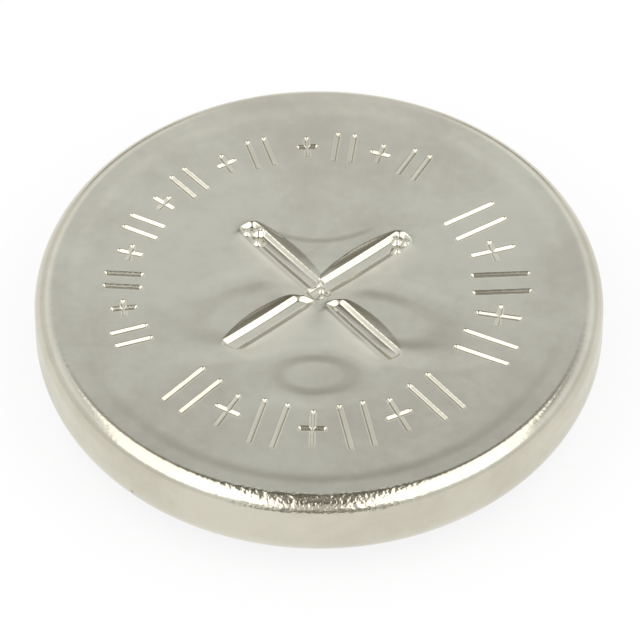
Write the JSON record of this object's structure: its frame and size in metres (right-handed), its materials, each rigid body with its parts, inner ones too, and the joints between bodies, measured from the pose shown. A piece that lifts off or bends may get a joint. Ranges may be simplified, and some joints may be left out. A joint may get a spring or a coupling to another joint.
{
  "type": "rechargeable button cell",
  "caption": "Low round nickel-plated rechargeable cell with a coined vent cross in its positive face and a crimped, insulated lid as the negative face.",
  "frame": {"origin": "centre of the lid's flat contact face, on which the cell lies", "axes": "+Z along the cell's axis from the negative lid to the positive face; X and Y across it"},
  "size_m": [0.0116, 0.0116, 0.0021],
  "materials": {
    "nickel_plate": "satin nickel plating",
    "black_polyamide": "moulded, satin",
    "nickel_sheet": "plain rolled sheet",
    "nickel_gauze": "fine gauze",
    "positive_mass": "pressed powder, matt",
    "felt": "fine white felt",
    "negative_mass": "pressed metal powder, matt",
    "spring_steel": "nickel-plated spring sheet"
  },
  "bodies": {
    "root": {"cell_cup": "nickel_plate", "cell_lid": "nickel_plate", "sealing_ring": "black_polyamide", "bottom_insert": "nickel_sheet", "positive_basket": "nickel_gauze", "positive_electrode": "positive_mass", "separator": "felt", "negative_electrode": "negative_mass", "negative_basket": "nickel_gauze", "contact_spring": "spring_steel"}
  },
  "joints": []
}
